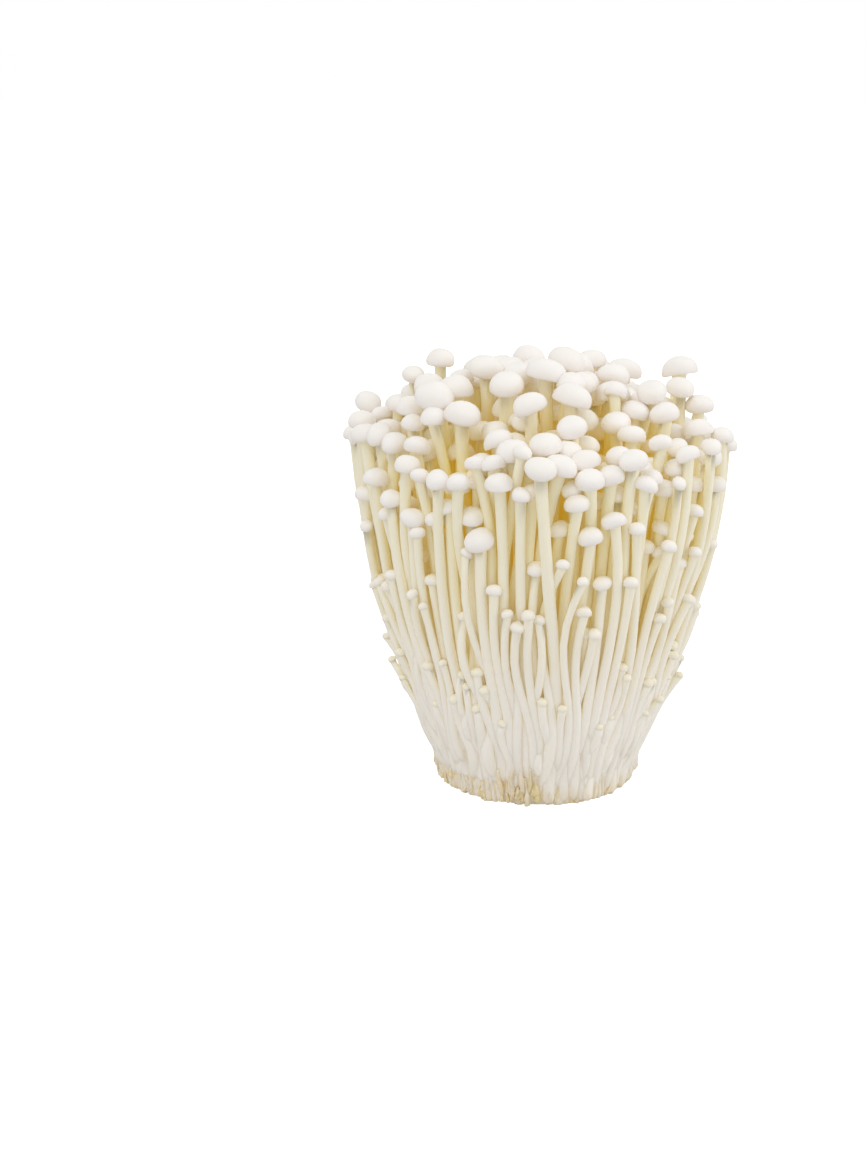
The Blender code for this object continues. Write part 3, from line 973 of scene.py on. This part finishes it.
def butt_wall(rng):
    """The side, from the sawn edge up: rings of a flared drum with a cusped ridge for every foot.

    It stays a little inside the skin of stems, which it fills the gaps of, and turns in behind them at its
    shoulder. A ridge's swell is the root of one minus a power of the way from its middle to its crease.
    The creases wander slowly with height, and every foot ends at its own height over the cut. On the left
    the side is bare up to the crease that bears the stems, a groove broken into specks, and swells out.
    """
    turn = np.linspace(0, 2 * math.pi, COLUMNS, endpoint=False)
    width = rng.uniform(*FOOT_WIDTHS, FEET)
    split = np.concatenate([[0], np.cumsum(width)]) / width.sum() * 2 * math.pi
    way = np.linspace(0, 1, WALL_ROWS)[:, None] ** WALL_EASE
    wander = WANDER[0] * np.sin(7 * turn + 1.0) * way + WANDER[1] * np.sin(17 * turn + 6 * way)
    wander = wander + WANDER[2] * way
    foot = np.interp((turn + wander) % (2 * math.pi), split, np.arange(FEET + 1))
    number = np.clip(foot.astype(int), 0, FEET - 1)
    off = np.abs(2 * (foot - number) - 1)
    swell = np.sqrt(np.clip(1 - off**RIDGE_POWER, 0, 1))
    left = on_the_left(turn)
    end = rng.uniform(0, 1, FEET)[number[0]] ** 2 * RAGGED * (RAGGED_RIGHT + (1 - RAGGED_RIGHT) * left)
    height = end + (WALL_TOP - end) * way
    crease = crease_height(turn) + CREASE_WAVES[0] * np.sin(13 * turn) + CREASE_WAVES[1] * np.sin(41 * turn)
    specks = np.clip(0.45 + 0.9 * np.sin(57 * turn + 2 * np.sin(11 * turn)), 0, 1)
    turned_in = np.clip((height - SHOULDER) / (WALL_TOP - SHOULDER), 0, 1)
    inset = INSET - LEFT_SWELL * left + SHOULDER_INSET * turned_in**SHOULDER_EASE
    edge = EDGE_ROUND * np.exp(-(height - end) / EDGE_HEIGHT)
    groove = left * specks * np.exp(-(((height - crease) / GROOVE_WIDTH) ** 2))
    proud = (SHALLOW + (PROUD - SHALLOW) * rng.uniform(0, 1, FEET))[number]
    fibre = FIBRE_WAVES[0] * np.sin(310 * turn + 3 * np.sin(9 * turn))
    fibre = fibre + FIBRE_WAVES[1] * np.sin(190 * turn + 5 * way)
    reach = skin(height) - inset - edge - GROOVE_DEPTH * groove + proud * swell + fibre
    dried = DRIED_ABOVE + (1 - DRIED_ABOVE) * np.exp(-height / DRIED_HEIGHT)
    dried = (1 - swell) ** DRIED_EASE * dried
    dried = np.clip(np.maximum(dried, GROOVE_DRIED * groove), 0, 1)
    points = np.concatenate([around(turn, reach), height[:, :, None]], axis=2)
    return points, dried, rng.uniform(0, 1, FEET)[number]


def cut_face(edge, rng):
    """The sawn underside, from near its middle out to the wall's edge: packed stem ends, parted by seams.

    A seam is where the nearest two of the stems' middles are almost as near as each other.
    """
    way = np.linspace(0, 1, FACE_ROWS, endpoint=False)[:, None]
    turn = np.arctan2(edge[:, 1], edge[:, 0])
    reach = POLE + (np.linalg.norm(edge[:, :2], axis=1) - POLE) * way
    plan = around(turn, reach)
    middles = sunflower(CELLS, CELL_DISC) + rng.normal(0, CELL_JITTER, (CELLS, 2))
    away = np.linalg.norm(plan[:, :, None, :] - middles, axis=3)
    nearest = np.argmin(away, axis=2)
    two = np.partition(away, 1, axis=2)
    seam = np.clip(1 - (two[:, :, 1] - two[:, :, 0]) / SEAM, 0, 1)
    relief = SEAM_DEPTH * seam**SEAM_EASE + rng.uniform(0, CELL_DEPTH, CELLS)[nearest]
    inside = np.clip((1 - way) * LEVEL_EDGE, 0, 1)
    height = edge[:, 2] * (1 - inside) + inside * relief
    points = np.concatenate([plan, height[:, :, None]], axis=2)
    return points, SEAM_DRIED * seam, rng.uniform(0, 1, CELLS)[nearest]


def butt_rings(rng):
    """The whole butt as one grid of rings: out over the cut face, up the wall, and in over the hidden top."""
    wall, wall_crease, wall_shade = butt_wall(rng)
    face, face_crease, face_shade = cut_face(wall[0], rng)
    way = np.linspace(0, 1, TOP_ROWS + 1)[1:, None, None]
    middle = np.array([0, 0, WALL_TOP])
    top = middle + (wall[-1] - middle) * (1 - way * (1 - POLE / BUTT_RADIUS))
    points = np.concatenate([face, wall, top])
    flat = np.full(top.shape[:2], 0.5)
    return {
        "points": points,
        "grain": points,
        "crease": np.concatenate([face_crease, wall_crease, flat]),
        "shade": np.concatenate([face_shade, wall_shade, flat]),
    }


FOOT_WHITE = linear(243, 236, 228)
FOOT_CREAM = linear(240, 231, 216)
DRIED_TAN = linear(232, 212, 150)
DRIED_BROWN = linear(210, 176, 102)
# Painted light: the colour of the feet's glow, strongest in the creases.
DRIED_PAINTED_GLOW = linear(255, 215, 120)

FEET_FIBRES = 2200.0
PATCH_FINENESS = 95.0
PATCH_SHADE, DARK_SHADE = 0.35, 0.6
FEET_RELIEF = (0.5, 0.0003)
FEET_PAINTED_GLOW = (0.02, 0.07)
FEET_ROUGHNESS = (0.55, 0.8)
FEET_GLOSS = 0.25
FEET_LIGHT_REACH, FEET_LIGHT_TINT = 0.0010, (1.0, 0.75, 0.45)


def fused_feet_material():
    """Pressed stem feet: off-white ridges, creases and ragged ends dried to tan, and a few browned patches.

    The feet glow a little, more in the creases: painted light that lifts the shade in them.
    """
    material, tree, shader = new_material("fused_stem_feet")
    place_in_object = node(tree, "ShaderNodeTexCoord").outputs["Object"]
    crease = attribute(tree, "crease")
    shade = attribute(tree, "shade")
    fibres = node(tree, "ShaderNodeGroup", node_tree=fungal_fibres)
    feed(tree, fibres.inputs, (attribute(tree, "grain", "Vector"), FEET_FIBRES))
    streaks, mottle = fibres.outputs
    patches = noise(tree, place_in_object, PATCH_FINENESS, 3.0)

    body = mix_colours(tree, shade, FOOT_WHITE, FOOT_CREAM)
    browned = ramp(tree, patches, 0.48, 0.72)
    tan = combine(tree, "ADD", crease, times(tree, browned, PATCH_SHADE))
    tan = times(tree, tan, ramp(tree, streaks, 0.30, 0.62, 0.45, 1.0))
    body = mix_colours(tree, ramp(tree, tan, 0.06, 0.72), body, DRIED_TAN)
    dark = times(tree, ramp(tree, crease, 0.55, 1.0, 0.0, DARK_SHADE), browned)
    body = mix_colours(tree, dark, body, DRIED_BROWN)
    emboss(tree, shader, combine(tree, "ADD", streaks, mottle), *FEET_RELIEF)
    plug(tree, shader, {
        "Base Color": body,
        # Painted light: the feet glow a little, more in the creases, to lift the shade in them.
        "Emission Color": DRIED_PAINTED_GLOW,
        "Emission Strength": ramp(tree, crease, 0.0, 1.0, *FEET_PAINTED_GLOW),
        "Roughness": ramp(tree, mottle, 0.3, 0.7, *FEET_ROUGHNESS),
        "Subsurface Weight": TRANSLUCENCE,
        "Subsurface Radius": FEET_LIGHT_TINT,
        "Subsurface Scale": FEET_LIGHT_REACH,
        "Specular IOR Level": FEET_GLOSS,
    })
    return material


fused_feet = fused_feet_material()
rng = np.random.default_rng(MORE_SEED + 2)
butt = put("butt_of_fused_feet", tubes_mesh("butt_mesh", [butt_rings(rng)]), fused_feet)
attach(butt, "root")
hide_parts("butt")

# --- The torn feet --------------------------------------------------------------------------------
# Stubs and shreds of outer feet that tore when the bunch was broken from its bottle. They have dried to
# thin, twisted, tan strips on the butt's side: short ones under the crease, and one tangle at the front.

SHREDS = 36
SHRED_FOOT, SHRED_LENGTH = (0.0003, 0.0022), (0.003, 0.007)
FRAYS = 44
FRAY_SHARE, FRAY_LENGTH = (0.05, 0.75), (0.0015, 0.0040)
TANGLE = 24
TANGLE_ANGLE, TANGLE_SPREAD = -1.66, 0.12
TANGLE_FOOT, TANGLE_LENGTH = (0.0003, 0.0050), (0.003, 0.012)
SHRED_SIDES = 7
SHRED_RINGS = 9
SHRED_LEAN, TANGLED_LEAN_LOSS = 0.035, 0.020
SHRED_CURL, TANGLED_CURL_LOSS = 0.015, 0.006
SUNK, TANGLED_RISE, HOLD_SPREAD = 0.0007, 0.0006, 0.0003
OFF_THE_SIDE = (0.0, 0.0006)
SHRED_SIZE, TANGLED_SIZE = (0.00030, 0.00075), 0.6
SHRED_TAPER, TAPER_POWER = 0.65, 1.5
SHRED_FLATNESS, SHRED_TWIST = 0.35, 1.2
SHRED_TONE, TIP_TONE = (0.0, 0.55), 0.20


def shred(angle, tangled, foot, length, rng):
    """A strip as a grid of rings: it rises on the butt's side, leans, bows off it a little, and tapers up.

    The tangled share, 0 to 1, stands it straighter, further out and thicker.
    """
    way = np.linspace(0, 1, SHRED_RINGS)
    height = foot + length * way
    lean = rng.normal(0, SHRED_LEAN - TANGLED_LEAN_LOSS * tangled)
    curl = rng.normal(0, SHRED_CURL - TANGLED_CURL_LOSS * tangled)
    turn_at = angle + lean * way + curl * np.sin(math.pi * way)
    hold = -SUNK + TANGLED_RISE * tangled + HOLD_SPREAD * rng.uniform(-1, 1)
    reach = skin(height) + hold + rng.uniform(*OFF_THE_SIDE) * np.sin(math.pi * way)
    line = np.concatenate([around(turn_at, reach), height[:, None]], axis=1)
    tangent = unit(np.gradient(line, axis=0))
    size = rng.uniform(*SHRED_SIZE) * (1 + TANGLED_SIZE * tangled) * (1 - SHRED_TAPER * way**TAPER_POWER)
    size = size * (0.8 + 0.2 * np.sin(9 * way + rng.uniform(0, 6)))
    turn = np.linspace(0, 2 * math.pi, SHRED_SIDES, endpoint=False)
    twist = rng.uniform(0, math.pi) + rng.normal(0, SHRED_TWIST) * way[:, None]
    flat = 1 + SHRED_FLATNESS * np.cos(2 * (turn + twist))
    tone = np.clip(rng.uniform(*SHRED_TONE) + TIP_TONE * (1 - way), 0, 1)
    points = ringed(line, size[:, None] * flat, turn, *across(tangent))
    return {
        "points": points,
        "grain": points,
        "crease": np.repeat(tone[:, None], SHRED_SIDES, 1),
        "shade": np.full((SHRED_RINGS, SHRED_SIDES), rng.uniform(0, 1)),
    }


strips = []
for angle in GOLDEN_ANGLE * np.arange(SHREDS):
    strips.append(shred(angle, 0, rng.uniform(*SHRED_FOOT), rng.uniform(*SHRED_LENGTH), rng))
for angle in CREASE_ANGLE + CREASE_SPAN * rng.uniform(-1, 1, FRAYS):
    foot = crease_height(angle) * rng.uniform(*FRAY_SHARE)
    strips.append(shred(angle, 0.5, foot, rng.uniform(*FRAY_LENGTH), rng))
for angle in rng.normal(TANGLE_ANGLE, TANGLE_SPREAD, TANGLE):
    strips.append(shred(angle, 1, rng.uniform(*TANGLE_FOOT), rng.uniform(*TANGLE_LENGTH), rng))
shreds = put("torn_feet", tubes_mesh("torn_feet_mesh", strips), fused_feet)
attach(shreds, "root")

# --- The floor, the light and the camera ----------------------------------------------------------
# A lit white table in a white tent, with a large soft lamp high up in front on the left and one on the
# right. The table and the tent are pure white to the eye, and dimmer in the light that they give.

FLOOR_SIZE = 6.0
TABLE_GLOW = 0.8
TENT_LIGHT = 0.77
LIGHT_BOUNCES = 10
TABLE_GREY = 0.75
LENS = 65.0
CAMERA_AWAY = 0.62
CAMERA_HEIGHT = 0.25
AIM = (-0.0326, 0.0, 0.063)

WHITE = (1.0, 1.0, 1.0, 1.0)
table, tree, surface = new_material("lit_white_table")
seen = node(tree, "ShaderNodeLightPath").outputs["Is Camera Ray"]
plug(tree, surface, {
    "Base Color": (TABLE_GREY, TABLE_GREY, TABLE_GREY, 1.0),
    "Roughness": 0.9,
    "Emission Color": WHITE,
    "Emission Strength": times(tree, seen, TABLE_GLOW),
})
floor_mesh = bpy.data.meshes.new("floor")
corners = [(-1, -1), (1, -1), (1, 1), (-1, 1)]
corners = [(x * FLOOR_SIZE / 2, y * FLOOR_SIZE / 2, 0) for x, y in corners]
floor_mesh.from_pydata(corners, [], [(0, 1, 2, 3)])
floor = put("floor", floor_mesh, table)

world = bpy.data.worlds.new("white_tent")
world.use_nodes = True
tree = world.node_tree
seen = node(tree, "ShaderNodeLightPath").outputs["Is Camera Ray"]
strength = ramp(tree, seen, 0.0, 1.0, TENT_LIGHT, 1.0)
plug(tree, tree.nodes["Background"], {"Color": WHITE, "Strength": strength})
bpy.context.scene.world = world
bpy.context.scene.view_settings.view_transform = "Standard"
bpy.context.scene.cycles.diffuse_bounces = LIGHT_BOUNCES


def soft_lamp(name, at, aim, size, power):
    """A square lamp that faces the point it is aimed at."""
    light = bpy.data.lights.new(name, "AREA")
    light.size = size
    light.energy = power
    lamp = bpy.data.objects.new(name, light)
    lamp.location = at
    lamp.rotation_euler = (Vector(aim) - Vector(at)).to_track_quat("-Z", "Y").to_euler()
    bpy.context.scene.collection.objects.link(lamp)


soft_lamp("key_lamp", (-0.4, -0.6, 1.05), (0, 0, 0.08), 0.7, 2.4)
soft_lamp("side_lamp", (0.9, -0.1, 0.5), (0, 0, 0.06), 0.7, 2.0)

lens = bpy.data.cameras.new("camera")
lens.lens = LENS
lens.sensor_width = 36.0
camera = bpy.data.objects.new("camera", lens)
camera.location = (0.0, -CAMERA_AWAY, CAMERA_HEIGHT)
camera.rotation_euler = (Vector(AIM) - camera.location).to_track_quat("-Z", "Y").to_euler()
bpy.context.scene.collection.objects.link(camera)
bpy.context.scene.camera = camera
